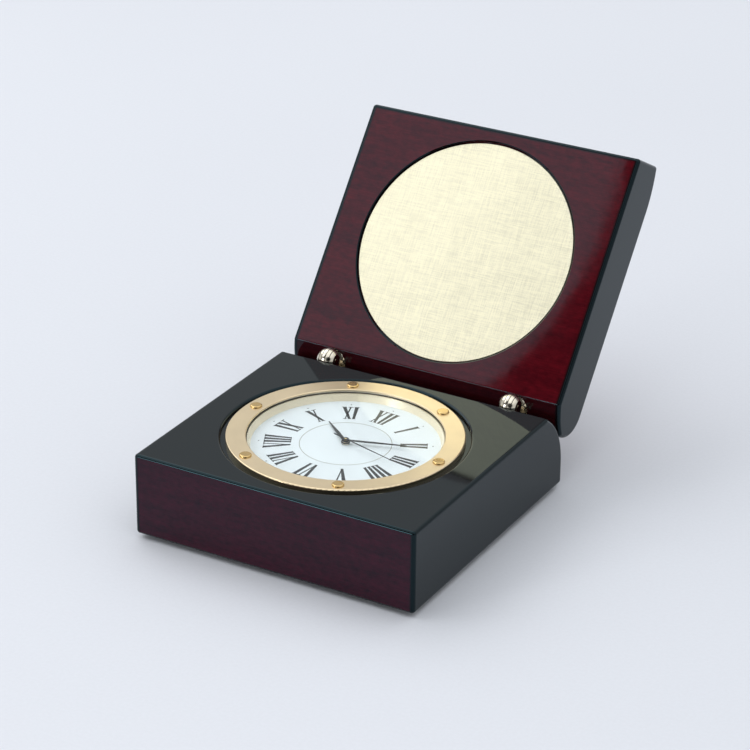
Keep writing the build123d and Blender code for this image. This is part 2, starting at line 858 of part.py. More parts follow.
with BuildPart() as rotor:
    add(post(rotor_place, arbor_radius, arbor_bottom, arbor_top))
    phase = gap_towards(rotor_place, intermediate_place, rotor_teeth)
    add(pinion(rotor_place, rotor_teeth, rotor_module, intermediate_z, phase))
    add(post(rotor_place, magnet_radius, magnet_z, magnet_z + magnet_height))
save(rotor.part, "rotor")

with BuildPart() as intermediate_wheel:
    add(post(intermediate_place, arbor_radius, arbor_bottom, arbor_top))
    phase = tooth_towards(intermediate_place, rotor_place)
    add(wheel(intermediate_place, intermediate_teeth, rotor_module, intermediate_z, phase))
    phase = gap_towards(intermediate_place, centre_place, intermediate_pinion_teeth)
    add(pinion(intermediate_place, intermediate_pinion_teeth, intermediate_module, second_z, phase))
save(intermediate_wheel.part, "intermediate_wheel")

second_hand_top = dial_top + second_hand[-1] + hand_thickness
with BuildPart() as second_wheel:
    add(post(centre_place, second_arbor_radius, arbor_bottom, second_hand_top))
    phase = tooth_towards(centre_place, intermediate_place)
    add(wheel(centre_place, second_teeth, intermediate_module, second_z, phase))
    phase = gap_towards(centre_place, third_place, second_pinion_teeth)
    add(pinion(centre_place, second_pinion_teeth, second_module, third_z, phase))
save(second_wheel.part, "second_wheel")

with BuildPart() as third_wheel:
    add(post(third_place, arbor_radius, arbor_bottom, arbor_top))
    phase = tooth_towards(third_place, centre_place)
    add(wheel(third_place, third_teeth, second_module, third_z, phase))
    phase = gap_towards(third_place, centre_place, third_pinion_teeth)
    add(pinion(third_place, third_pinion_teeth, third_module, centre_z, phase))
save(third_wheel.part, "third_wheel")

minute_hand_top = dial_top + minute_hand[-1] + hand_thickness
with BuildPart() as centre_wheel:
    add(post(centre_place, tube_radius, centre_z, minute_hand_top))
    phase = tooth_towards(centre_place, third_place)
    add(wheel(centre_place, centre_teeth, third_module, centre_z, phase))
    phase = gap_towards(centre_place, minute_work_place, cannon_teeth)
    add(toothed_disc(centre_place, cannon_teeth, cannon_module, cannon_bottom, cannon_top, phase))
    add(post(centre_place, tube_bore, centre_z, minute_hand_top), mode=Mode.SUBTRACT)
save(centre_wheel.part, "centre_wheel")

with BuildPart() as minute_work_wheel:
    phase = tooth_towards(minute_work_place, centre_place)
    add(wheel(minute_work_place, minute_work_teeth, cannon_module, minute_work_z, phase))
    minute_work_top = minute_work_z + wheel_thickness
    pinion_top = hour_z + wheel_thickness + pinion_overhang
    phase = gap_towards(minute_work_place, centre_place, minute_work_pinion_teeth)
    add(
        toothed_disc(
            minute_work_place, minute_work_pinion_teeth, hour_module, minute_work_top, pinion_top, phase
        )
    )
    add(hole(minute_work_place, arbor_radius, minute_work_z, pinion_top), mode=Mode.SUBTRACT)
save(minute_work_wheel.part, "minute_work_wheel")

hour_hand_top = dial_top + hour_hand[-1] + hand_thickness
with BuildPart() as hour_wheel:
    phase = tooth_towards(centre_place, minute_work_place)
    add(wheel(centre_place, hour_teeth, hour_module, hour_z, phase))
    add(post(centre_place, pipe_radius, hour_z, hour_hand_top))
    add(post(centre_place, pipe_bore, hour_z, hour_hand_top), mode=Mode.SUBTRACT)
save(hour_wheel.part, "hour_wheel")

# ---------------------------------------------------------------- hands

save(tapered_hand(hour_hand, pipe_radius + hand_hole_clearance, hour_angle), "hour_hand")
save(tapered_hand(minute_hand, tube_radius + hand_hole_clearance, minute_angle), "minute_hand")
save(tapered_hand(second_hand, second_arbor_radius + hand_hole_clearance, second_angle), "second_hand")

# ---------------------------------------------------------------- setting knob

with BuildPart() as setting_knob:
    with BuildSketch(clock_plane(knob_bottom, knob_place)):
        Circle(knob_radius)
        with PolarLocations(knob_radius, knob_grooves):
            Circle(knob_groove_radius, mode=Mode.SUBTRACT)
    extrude(amount=knob_height)
    add(post(knob_place, knob_shaft_radius, knob_top, cannon_top))
    phase = gap_towards(knob_place, minute_work_place, knob_teeth)
    add(toothed_disc(knob_place, knob_teeth, cannon_module, cannon_bottom, cannon_top, phase))
save(setting_knob.part, "setting_knob")

# ---------------------------------------------------------------- battery

with BuildPart() as battery:
    add(post(battery_place, battery_radius, battery_bottom, battery_top - battery_step))
    add(post(battery_place, battery_radius - battery_rim, battery_top - battery_step, battery_top))
save(battery.part, "battery")

with BuildPart() as battery_tube:
    add(post(battery_place, battery_tube_radius, case_inside, holder_bottom))
    tube_bore_radius = battery_radius + battery_clearance
    add(post(battery_place, tube_bore_radius, case_inside, holder_bottom), mode=Mode.SUBTRACT)
    slot_place = (battery_x - battery_tube_radius, 0)
    add(
        slab(slot_place, 4 * battery_tube_wall, battery_tube_slot, case_inside, holder_bottom),
        mode=Mode.SUBTRACT,
    )
save(battery_tube.part, "battery_tube")

contact_start = movement_size[0] / 2
strip_x = battery_x - battery_radius - contact_thickness
with BuildPart() as battery_side_contact:
    strip_top = battery_top - 2 * battery_step
    strip_place = (strip_x + contact_thickness / 2, 0)
    add(slab(strip_place, contact_thickness, contact_width, battery_bottom, strip_top))
    tab_length = strip_x + contact_thickness - contact_start
    tab_x = contact_start + tab_length / 2
    add(slab((tab_x, 0), tab_length, contact_width, strip_top - contact_thickness, strip_top))
save(battery_side_contact.part, "battery_side_contact")

end_contact_x = contact_start + (contact_reach + battery_tube_wall) / 2
save(
    slab(
        (end_contact_x, 0),
        contact_reach + battery_tube_wall,
        contact_width,
        battery_top,
        battery_top + contact_thickness,
    ),
    "battery_end_contact",
)

with BuildPart() as battery_hatch:
    add(post(battery_place, hatch_radius, case_bottom, case_inside))
    slot_width_length = hatch_slot[:2]
    add(slab(battery_place, *slot_width_length, case_bottom, case_bottom + hatch_slot[2]), mode=Mode.SUBTRACT)
save(battery_hatch.part, "battery_hatch")
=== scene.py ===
import json
import math

import bmesh
import bpy
from bpy.props import FloatProperty, FloatVectorProperty, PointerProperty
from bpy.types import Operator, Panel, PropertyGroup
from mathutils import Matrix, Vector


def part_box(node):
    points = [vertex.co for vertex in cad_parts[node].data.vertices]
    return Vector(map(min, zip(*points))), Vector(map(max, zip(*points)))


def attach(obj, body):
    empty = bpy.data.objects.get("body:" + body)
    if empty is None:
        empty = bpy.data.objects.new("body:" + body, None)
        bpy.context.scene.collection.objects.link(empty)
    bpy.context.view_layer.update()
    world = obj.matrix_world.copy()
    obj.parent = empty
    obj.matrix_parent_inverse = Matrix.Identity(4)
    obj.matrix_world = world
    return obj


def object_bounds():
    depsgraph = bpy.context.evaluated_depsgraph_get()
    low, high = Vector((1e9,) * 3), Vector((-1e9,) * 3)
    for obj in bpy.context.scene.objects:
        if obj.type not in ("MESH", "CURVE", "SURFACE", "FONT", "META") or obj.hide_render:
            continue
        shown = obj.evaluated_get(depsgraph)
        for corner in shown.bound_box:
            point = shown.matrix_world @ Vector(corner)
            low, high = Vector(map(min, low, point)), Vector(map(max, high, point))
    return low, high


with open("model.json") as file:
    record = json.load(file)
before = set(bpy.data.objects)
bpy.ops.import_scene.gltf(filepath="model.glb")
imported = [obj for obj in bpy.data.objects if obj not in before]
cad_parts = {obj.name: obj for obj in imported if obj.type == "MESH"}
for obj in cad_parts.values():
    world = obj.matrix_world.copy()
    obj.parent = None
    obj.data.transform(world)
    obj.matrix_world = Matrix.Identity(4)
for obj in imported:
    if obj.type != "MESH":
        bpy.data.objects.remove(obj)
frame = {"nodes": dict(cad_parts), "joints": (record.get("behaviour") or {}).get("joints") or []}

bl_info = {
    "name": "Desk clock in a hinged box",
    "version": (1, 0, 0),
    "blender": (4, 5, 0),
    "location": "3D View > Sidebar > Desk Clock",
    "description": "Finishes, dial printing and stage for a desk clock set in a lacquered box",
    "category": "Object",
}

MM = 0.001
CAD_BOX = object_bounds()
NODES = frame["nodes"]
JOINTS = {joint["name"]: joint for joint in frame["joints"]}

# Places that the pieces share, in metres.
HINGE = Vector(JOINTS["lid_swing"]["pos_m"])
LID_OPENING = math.radians(JOINTS["lid_swing"]["range_deg"][1])
CLOCK_AXIS = Vector((*JOINTS["hours_turn"]["pos_m"][:2], 0))
INSERT_TURN = math.radians(3.6)

# Where the veneer fades into nearly black wood, on the closed box: how far from the middle towards
# each end, and how far back from the middle.
BASE_END = (45.8 * MM, 46.5 * MM)
LID_END = (45.6 * MM, 46.4 * MM)
LID_FRONT_EDGE = (-44.2 * MM, -43.5 * MM)
# Back from the hinge edge the lid keeps only the share of veneer below, half and half with nearly black
# wood: painted shade for the hinge nose, which sits in shadow down against the base.
LID_HINGE_EDGE = (33.0 * MM, 33.4 * MM)
HINGE_NOSE_SHADED_VENEER = 0.5

# The same at a rounded edge, by how squarely the surface faces up, down, or to the front or back:
# the part of its direction that lies that way, where the veneer starts and where it is full.
LID_FACES_DOWN = (-0.955, -0.985)
LID_FACES_UP = (0.80, 0.88)
LID_FACES_ALONG = (0.93, 0.975)
BASE_FACES_ALONG = (0.93, 0.98)

# The room brightens as a direction rises. Near a dark place it fades as a direction closes on that
# place: the part of the direction that lies that way, where the dark starts and where it is full.
ROOM_BRIGHTENS = (0.45, 1.0)
GAP_FADE = (0.94, 0.975)
DARK_SIDE_FADE = (0.88, 0.95)
DARKEST = 0.03

FLOOR_STEPS = 24
# The camera's frame in millimetres, and the nearest and farthest that it sees in metres.
FRAME_WIDTH = 36
NEAREST_SEEN, FARTHEST_SEEN = 0.01, 50
# How fast the wave of the coil's wire runs, in radians to a metre: a turn to every 0.1 mm or so.
COIL_RADIANS = 62000


def shade(red, green, blue):
    """A colour given as 0 to 255 on a screen, as the linear values that a shader takes."""
    values = (red / 255, green / 255, blue / 255)
    return tuple(v / 12.92 if v <= 0.04045 else ((v + 0.055) / 1.055) ** 2.4 for v in values)


# Colours that aren't offered in the panel: the feet, the pieces inside, the crystal and the room.
FOOT_FELT = shade(34, 34, 38)
ADHESIVE_FILM = shade(222, 222, 214)
GASKET_CREAM = shade(225, 220, 205)
CASE_BLACK = shade(46, 46, 48)
KNOB_BLACK = shade(40, 40, 42)
GRIP_GREY = shade(150, 150, 146)
HOLDER_CREAM = shade(228, 222, 205)
PLATE_WHITE = shade(236, 236, 232)
WHEEL_WHITE = shade(240, 236, 222)
CHIP_BLACK = shade(22, 22, 22)
BOARD_GREEN = shade(20, 96, 58)
TRACK_GREEN = shade(34, 128, 74)
WHEEL_BRASS = (0.80, 0.62, 0.32)
BRIGHT_STEEL = (0.62, 0.63, 0.64)
CELL_STEEL = (0.66, 0.67, 0.68)
CONTACT_STEEL = (0.74, 0.72, 0.64)
COPPER_WIRE = (0.72, 0.33, 0.16)
GLASS_TINT = (0.97, 0.985, 0.985)
GLASS_SHADOW = (0.96, 0.975, 0.975)
ROOM_COLOUR = (0.97, 0.985, 1.0)


# ---------------------------------------------------------------- finishes


class Signal:
    """A number, vector or colour on its way to a shader, so that its maths reads as arithmetic."""

    def __init__(self, patterns, socket):
        self.patterns = patterns
        self.socket = socket

    def __add__(self, other):
        return self.patterns.maths("ADD", self, other)

    def __sub__(self, other):
        return self.patterns.maths("SUBTRACT", self, other)

    def __rsub__(self, other):
        return self.patterns.maths("SUBTRACT", other, self)

    def __mul__(self, other):
        return self.patterns.maths("MULTIPLY", self, other)

    def __pow__(self, other):
        return self.patterns.maths("POWER", self, other)

    def __rpow__(self, other):
        return self.patterns.maths("POWER", other, self)

    __radd__ = __add__
    __rmul__ = __mul__


class Patterns:
    """A node tree, and the few ways in which its patterns are made."""

    def __init__(self, tree):
        self.tree = tree

    def connect(self, value, socket):
        if isinstance(value, Signal):
            self.tree.links.new(value.socket, socket)
        else:
            socket.default_value = value

    def node(self, kind, settings, inputs, output=0):
        """Any node: its settings first, then what feeds it. Returns one of its outputs."""
        made = self.tree.nodes.new("ShaderNode" + kind)
        for name, value in settings.items():
            setattr(made, name, value)
        for name, value in inputs.items():
            self.connect(value, made.inputs[name])
        return Signal(self, made.outputs[output])

    def maths(self, operation, first, second=0.0):
        return self.node("Math", {"operation": operation}, {0: first, 1: second})

    def larger(self, first, second):
        return self.maths("MAXIMUM", first, second)

    def place(self, turned_back=0.0):
        """Where a point is on the piece, with the lid turned back to closed if need be."""
        here = self.node("TexCoord", {}, {}, "Object")
        return self.turned(here, HINGE, turned_back)

    def facing(self, turned_back=0.0):
        """The direction that the surface faces, on the piece itself."""
        there = self.node("TexCoord", {}, {}, "Normal")
        return self.turned(there, (0, 0, 0), turned_back)

    def turned(self, vector, centre, angle):
        if not angle:
            return vector
        settings = {"rotation_type": "X_AXIS"}
        return self.node("VectorRotate", settings, {"Vector": vector, "Center": centre, "Angle": angle})

    def stretched(self, vector, x, y, z):
        return self.node("VectorMath", {"operation": "MULTIPLY"}, {0: vector, 1: (x, y, z)})

    def part(self, vector, axis):
        return self.node("SeparateXYZ", {}, {"Vector": vector}, axis)

    def size_of(self, vector, axis):
        """How large one part of a vector is, whichever way it points."""
        return self.maths("ABSOLUTE", self.part(vector, axis))

    def towards(self, vector, direction):
        """The part of a vector that lies along a direction."""
        inputs = {0: vector, 1: Vector(direction).normalized()}
        return self.node("VectorMath", {"operation": "DOT_PRODUCT"}, inputs, "Value")

    def round_about(self, vector, centre):
        """Radius and angle about an upright axis, and the height, for a point."""
        offset = self.node("VectorMath", {"operation": "SUBTRACT"}, {0: vector, 1: centre})
        x, y, height = (self.part(offset, axis) for axis in "XYZ")
        radius = (x * x + y * y) ** 0.5
        angle = self.maths("ARCTAN2", y, x)
        return radius, angle, height

    def combined(self, x, y, z):
        return self.node("CombineXYZ", {}, {"X": x, "Y": y, "Z": z})

    def noise(self, vector, scale, detail=2.0, roughness=0.5):
        """Noise of about scale features to a metre, or one scale for each axis where it is drawn out."""
        if isinstance(scale, tuple):
            vector, scale = self.stretched(vector, *scale), 1.0
        inputs = {"Vector": vector, "Scale": scale, "Detail": detail, "Roughness": roughness}
        return self.node("TexNoise", {}, inputs)

    def span(self, signal, low, high, over=(0.35, 0.65)):
        """From low to high as the signal crosses a range. The usual one is where noise mostly lies."""
        inputs = {"Value": signal, "From Min": over[0], "From Max": over[1], "To Min": low, "To Max": high}
        return self.node("MapRange", {"clamp": True}, inputs)

    def blend(self, share, first, second):
        inputs = {"Factor": share, 6: self.opaque(first), 7: self.opaque(second)}
        return self.node("Mix", {"data_type": "RGBA"}, inputs, 2)

    def scaled(self, colour, share):
        """A colour made lighter or darker by a share."""
        inputs = {0: self.bare(colour), "Scale": share}
        return self.node("VectorMath", {"operation": "SCALE"}, inputs)

    def opaque(self, colour):
        return colour if isinstance(colour, Signal) else (*colour[:3], 1.0)

    def bare(self, colour):
        return colour if isinstance(colour, Signal) else tuple(colour[:3])


class Finish(Patterns):
    """A material with one surface shader, for CAD nodes or for new pieces."""

    def __init__(self, name, **constants):
        self.material = bpy.data.materials.new(name)
        self.material.use_nodes = True
        super().__init__(self.material.node_tree)
        self.shader = self.tree.nodes["Principled BSDF"]
        for socket, value in constants.items():
            self.shader.inputs[socket.replace("_", " ")].default_value = value

    def colour(self, value):
        self.connect(self.opaque(value), self.shader.inputs["Base Color"])

    def rough(self, value):
        self.connect(value, self.shader.inputs["Roughness"])

    def relief(self, height, depth):
        """Raised and sunk by the height signal, to this depth in metres."""
        bump = self.node("Bump", {}, {"Height": height, "Distance": depth, "Strength": 1.0})
        self.connect(bump, self.shader.inputs["Normal"])

    def on(self, *names):
        """Give this finish to CAD nodes, in the slots that they already have."""
        for name in names:
            mesh = NODES[name].data
            if not mesh.materials:
                mesh.materials.append(self.material)
            for slot in range(len(mesh.materials)):
                mesh.materials[slot] = self.material


def moulded_plastic(name, colour, roughness=0.45):
    """Moulded plastic: a little uneven in colour, with a fine spark-eroded texture."""
    finish = Finish(name, IOR=1.46)
    here = finish.place()
    cloud = finish.noise(here, scale=260, detail=3)
    finish.colour(finish.scaled(colour, finish.span(cloud, 0.94, 1.06)))
    finish.rough(finish.span(cloud, roughness - 0.06, roughness + 0.08))
    grit = finish.noise(here, scale=9000)
    finish.relief(grit, depth=0.01 * MM)
    return finish


def worked_metal(name, colour, roughness, strokes=(400, 4000, 4000), tarnish=0.08):
    """Rolled, drawn or turned metal, with fine tool strokes and a trace of tarnish."""
    finish = Finish(name, Metallic=1.0)
    here = finish.place()
    lines = finish.noise(here, scale=strokes, detail=3)
    cloud = finish.noise(here, scale=320, detail=3)
    finish.colour(finish.scaled(colour, finish.span(cloud, 1 - tarnish, 1.0)))
    finish.rough(finish.span(lines, roughness - 0.07, roughness + 0.1))
    finish.relief(lines, depth=0.006 * MM)
    return finish


def lacquered_wood(name, looks, bright, deep, turned_back=0.0):
    """Red-brown veneer under deep gloss lacquer, with a figure that runs along the hinge."""
    finish = Finish(name, IOR=looks.lacquer_ior, Specular_Tint=(*looks.lacquer_tint, 1.0))
    here = finish.place(turned_back)
    ribbons = finish.noise(here, scale=(24, 300, 300), detail=4, roughness=0.6)
    mottle = finish.noise(here, scale=(420, 760, 760), detail=3, roughness=0.6)
    pores = finish.noise(here, scale=(140, 2600, 2600), detail=3, roughness=0.6)
    broad, narrow = (0.3, 0.7), (0.3, 0.6)
    figure = finish.span(ribbons, 0.0, 0.45, over=broad) + finish.span(mottle, 0.0, 0.55, over=broad)
    veneer = finish.scaled(finish.blend(figure, deep, bright), finish.span(pores, 0.82, 1.06, over=narrow))
    smears = finish.noise(here, scale=(40, 60, 60), detail=3)
    finish.rough(finish.span(smears, looks.lacquer_roughness, looks.lacquer_roughness + 0.02))
    waviness = finish.noise(here, scale=130)
    finish.relief(waviness + pores * 0.02, depth=0.006 * MM)
    return finish, here, finish.facing(turned_back), veneer


# ---------------------------------------------------------------- mesh work


def piece_from(name, bm, body, finish):
    """A new piece of mesh that rides on a CAD body and takes a finish."""
    mesh = bpy.data.meshes.new(name)
    bmesh.ops.recalc_face_normals(bm, faces=bm.faces)
    bm.to_mesh(mesh)
    bm.free()
    piece = bpy.data.objects.new(name, mesh)
    bpy.context.scene.collection.objects.link(piece)
    mesh.materials.append(finish.material)
    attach(piece, body)


def printed(bm, outline, bottom, top):
    """A flat printed shape: a closed outline raised by the thickness of the ink."""
    lower = [bm.verts.new((x, y, bottom)) for x, y in outline]
    upper = [bm.verts.new((x, y, top)) for x, y in outline]
    bm.faces.new(upper)
    bm.faces.new(lower[::-1])
    for a in range(len(outline)):
        b = (a + 1) % len(outline)
        bm.faces.new((lower[a], lower[b], upper[b], upper[a]))


def on_dial(angle, across, radius):
    """A point on the dial, at a clock angle in degrees and a distance across it, as x and y."""
    turn = math.radians(angle) + INSERT_TURN
    x = CLOCK_AXIS.x + math.sin(turn) * radius + math.cos(turn) * across
    y = CLOCK_AXIS.y + math.cos(turn) * radius - math.sin(turn) * across
    return x, y


# Strokes of one letter of unit height: x at the foot, x at the head, width. Then its serifs'
# middles, at the foot and at the head, and the room that the letter takes.
LETTERS = {
    "I": (((0.095, 0.095, 0.12),), (0.095,), (0.095,), 0.19),
    "V": (((0.18, 0.07, 0.12), (0.18, 0.30, 0.05)), (), (0.07, 0.30), 0.37),
    "X": (((0.29, 0.08, 0.12), (0.08, 0.29, 0.05)), (0.08, 0.29), (0.08, 0.29), 0.38),
}
SERIF_WIDTH = 0.16
SERIF_HEIGHT = 0.035
NUMERALS = ("XII", "I", "II", "III", "IIII", "V", "VI", "VII", "VIII", "IX", "X", "XI")
HOUR_ANGLE = 30
DOT_CORNERS = 10
CIRCLE_STEPS = 180
SAME_PLACE = 1e-7


def numeral_outlines(word):
    """The strokes and serifs of one numeral, as four-cornered outlines of unit height."""
    width = sum(LETTERS[letter][3] for letter in word)
    start = -width / 2
    outlines = []
    for letter in word:
        strokes, feet, heads, room = LETTERS[letter]
        for foot, head, thick in strokes:
            half = thick / 2
            foot, head = start + foot, start + head
            outlines.append(((foot - half, 0), (foot + half, 0), (head + half, 1), (head - half, 1)))
        for middles, low in ((feet, 0), (heads, 1 - SERIF_HEIGHT)):
            for middle in middles:
                left, right = start + middle - SERIF_WIDTH / 2, start + middle + SERIF_WIDTH / 2
                high = low + SERIF_HEIGHT
                outlines.append(((left, low), (right, low), (right, high), (left, high)))
        start += room
    return outlines


# ---------------------------------------------------------------- sizes and colours


class BoxLooks(PropertyGroup):
    lid_bright: FloatVectorProperty(
        name="Lid, bright", description="Lightest figure of the lid's veneer", size=3, subtype="COLOR",
        default=shade(92, 14, 24), min=0, max=1)
    lid_deep: FloatVectorProperty(
        name="Lid, deep", description="Darkest figure of the lid's veneer", size=3, subtype="COLOR",
        default=shade(56, 7, 15), min=0, max=1)
    base_bright: FloatVectorProperty(
        name="Base, bright", description="Lightest figure of the base's veneer", size=3, subtype="COLOR",
        default=shade(66, 11, 31), min=0, max=1)
    base_deep: FloatVectorProperty(
        name="Base, deep", description="Darkest figure of the base's veneer", size=3, subtype="COLOR",
        default=shade(41, 6, 20), min=0, max=1)
    wood_rim: FloatVectorProperty(
        name="Rim", description="Wood at the ends and on the base's top", size=3, subtype="COLOR",
        default=shade(14, 13, 15), min=0, max=1)
    lacquer_tint: FloatVectorProperty(
        name="Lacquer tint", description="Tint of the lacquer's reflections", size=3, subtype="COLOR",
        default=(0.40, 0.84, 1.0), min=0, max=1)
    lacquer_ior: FloatProperty(
        name="Lacquer index", description="Index of refraction of the lacquer", default=1.34, min=1, max=2)
    lacquer_roughness: FloatProperty(
        name="Lacquer roughness", description="Roughness of the polished lacquer", subtype="FACTOR",
        default=0.035, min=0, max=1)


class MetalLooks(PropertyGroup):
    plate: FloatVectorProperty(
        name="Plate", description="Colour of the brushed plate", size=3, subtype="COLOR",
        default=(0.97, 0.93, 0.71), min=0, max=1)
    bezel: FloatVectorProperty(
        name="Bezel", description="Colour of the bezel's plating", size=3, subtype="COLOR",
        default=(0.80, 0.66, 0.44), min=0, max=1)
    screw_heads: FloatVectorProperty(
        name="Screw heads", description="Colour of the bezel's screws", size=3, subtype="COLOR",
        default=(0.74, 0.52, 0.23), min=0, max=1)
    hinge: FloatVectorProperty(
        name="Hinges", description="Colour of the hinges", size=3, subtype="COLOR",
        default=(0.80, 0.74, 0.62), min=0, max=1)


class DialLooks(PropertyGroup):
    ground: FloatVectorProperty(
        name="Ground", description="Colour of the dial", size=3, subtype="COLOR",
        default=shade(223, 231, 235), min=0, max=1)
    ink: FloatVectorProperty(
        name="Ink", description="Colour of the numerals", size=3, subtype="COLOR",
        default=shade(20, 26, 30), min=0, max=1)
    line: FloatVectorProperty(
        name="Line", description="Colour of the inner circle", size=3, subtype="COLOR",
        default=shade(150, 152, 140), min=0, max=1)
    reflector: FloatVectorProperty(
        name="Reflector ring", description="Colour of the sloping ring", size=3, subtype="COLOR",
        default=(0.86, 0.77, 0.58), min=0, max=1)
    numeral_foot: FloatProperty(
        name="Numeral foot", description="Radius at the numerals' feet", unit="LENGTH", default=16.4 * MM)
    numeral_head: FloatProperty(
        name="Numeral head", description="Radius at the numerals' heads", unit="LENGTH", default=24.6 * MM)
    dot_radius: FloatProperty(
        name="Dot", description="Radius of an hour dot", unit="LENGTH", default=0.22 * MM)
    dot_place: FloatProperty(
        name="Dot place", description="Radius that the hour dots stand on", unit="LENGTH", default=26.2 * MM)
    circle_radius: FloatProperty(
        name="Inner circle", description="Radius of the printed circle", unit="LENGTH", default=13.9 * MM)
    circle_width: FloatProperty(
        name="Circle width", description="Width of the printed circle", unit="LENGTH", default=0.2 * MM)
    ink_thickness: FloatProperty(
        name="Ink thickness", description="How far the printing stands up", unit="LENGTH", default=0.02 * MM)


class StageLooks(PropertyGroup):
    floor: FloatVectorProperty(
        name="Floor", description="Colour of the floor", size=3, subtype="COLOR",
        default=shade(222, 225, 232), min=0, max=1)
    floor_reach: FloatProperty(
        name="Floor reach", description="From the floor's middle to its sides", unit="LENGTH", default=4.0)
    key_power: FloatProperty(
        name="Key power", description="Power of the large softbox", unit="POWER", default=11, min=0)
    key_place: FloatVectorProperty(
        name="Key place", description="Middle of the large softbox", size=3, subtype="XYZ", unit="LENGTH",
        default=(-1.65, 0.62, 1.78))
    key_diameter: FloatProperty(
        name="Key diameter", description="Diameter of the large softbox", unit="LENGTH", default=2.02, min=0)
    umbrella_power: FloatProperty(
        name="Umbrella power", description="Power of the round umbrella", unit="POWER", default=1.23, min=0)
    umbrella_place: FloatVectorProperty(
        name="Umbrella place", description="Middle of the round umbrella", size=3, subtype="XYZ",
        unit="LENGTH", default=(-0.661, -0.506, 0.888))
    umbrella_diameter: FloatProperty(
        name="Umbrella diameter", description="Diameter of the umbrella", unit="LENGTH",
        default=0.544, min=0)
    edge_power: FloatProperty(
        name="Edge light power", description="Power of the small low lamp", unit="POWER", default=2.5, min=0)
    edge_place: FloatVectorProperty(
        name="Edge light place", description="Middle of the small low lamp", size=3, subtype="XYZ",
        unit="LENGTH", default=(-0.665, -1.275, 0.42))
    edge_diameter: FloatProperty(
        name="Edge light diameter", description="Diameter of the small low lamp", unit="LENGTH",
        default=0.316, min=0)
    lamp_aim: FloatVectorProperty(
        name="Lamp aim", description="Point that the lamps face", size=3, subtype="XYZ", unit="LENGTH",
        default=(0, 0, 0.04))
    gap_direction: FloatVectorProperty(
        name="Dark gap", description="Where the room is dark, between the lamps", size=3,
        subtype="DIRECTION", default=(-0.36, -0.60, 0.715))
    dark_side: FloatVectorProperty(
        name="Dark side", description="Where the room is dark, behind the camera", size=3,
        subtype="DIRECTION", default=(0.443, -0.784, 0.434))
    sky_low: FloatProperty(
        name="Room at eye level", description="Brightness of the room round the stage", default=0.67, min=0)
    sky_high: FloatProperty(
        name="Room overhead", description="Brightness of the room overhead", default=1.44, min=0)
    lens: FloatProperty(
        name="Lens", description="Focal length on a 36 mm frame", unit="CAMERA", default=139.312)
    azimuth: FloatProperty(
        name="Azimuth", description="Camera's turn to the right of the front", subtype="ANGLE",
        default=math.radians(29.542))
    elevation: FloatProperty(
        name="Elevation", description="Camera's height as an angle", subtype="ANGLE",
        default=math.radians(25.761))
    roll: FloatProperty(
        name="Roll", description="Camera's roll", subtype="ANGLE", default=math.radians(0.518))
    distance: FloatProperty(
        name="Distance", description="Camera's distance", unit="LENGTH", default=0.870104)
    aim: FloatVectorProperty(
        name="Aim", description="Point that the camera looks past", size=3, subtype="XYZ", unit="LENGTH",
        default=(0, 0, 0.0315))
    slide: FloatVectorProperty(
        name="Slide", description="Camera's slide to the right and up", size=2, unit="LENGTH",
        default=(0.00666, 0.0132))


# ---------------------------------------------------------------- pieces


class DESKCLOCK_OT_box(Operator):
    """Lacquer the base and the lid"""

    bl_idname = "desk_clock.box"
    bl_label = "Lacquered box"

    def execute(self, context):
        looks = context.scene.desk_clock_box
        self.base(looks)
        self.lid(looks)
        return {"FINISHED"}

    def base(self, looks):
        """Veneer on the front and back; the top, the ends and the rounded edges are nearly black."""
        wood, here, facing, veneer = lacquered_wood(
            "base_lacquer", looks, looks.base_bright, looks.base_deep)
        upright = wood.span(wood.size_of(facing, "Y"), 0, 1, over=BASE_FACES_ALONG)
        share = upright * wood.span(wood.size_of(here, "X"), 1, 0, over=BASE_END)
        wood.colour(wood.blend(share, looks.wood_rim, veneer))
        wood.on("base_body")

    def lid(self, looks):
        """Veneer on the broad faces and the front; the hinge nose is half veneer and half nearly black, a
        painted shade where it sits in shadow down against the base; the rest is nearly black.
        """
        wood, here, facing, veneer = lacquered_wood(
            "lid_lacquer", looks, looks.lid_bright, looks.lid_deep, LID_OPENING)
        back, upward = wood.part(here, "Y"), wood.part(facing, "Z")
        inner = wood.span(upward, 0, 1, over=LID_FACES_DOWN) * wood.span(back, 0, 1, over=LID_FRONT_EDGE)
        outer = wood.span(upward, 0, 1, over=LID_FACES_UP)
        front = wood.span(wood.size_of(facing, "Y"), 0, 1, over=LID_FACES_ALONG)
        # Painted shade: the hinge nose gets only half its veneer, darkened as if in shadow against the base.
        hinge_nose_shade = wood.span(back, 0, HINGE_NOSE_SHADED_VENEER, over=LID_HINGE_EDGE)
        share = wood.larger(wood.larger(inner, hinge_nose_shade), wood.larger(outer, front))
        share = share * wood.span(wood.size_of(here, "X"), 1, 0, over=LID_END)
        wood.colour(wood.blend(share, looks.wood_rim, veneer))
        wood.on("lid_body")


class DESKCLOCK_OT_feet(Operator):
    """Give the feet their soft dark finish"""

    bl_idname = "desk_clock.feet"
    bl_label = "Feet"

    def execute(self, context):
        felt = Finish("foot_felt", IOR=1.45)
        fuzz = felt.noise(felt.place(), scale=5200, detail=3)
        felt.colour(felt.scaled(FOOT_FELT, felt.span(fuzz, 0.6, 1.3)))
        felt.rough(felt.span(fuzz, 0.8, 0.95))
        felt.relief(fuzz, depth=0.06 * MM)
        felt.on("feet")
        return {"FINISHED"}


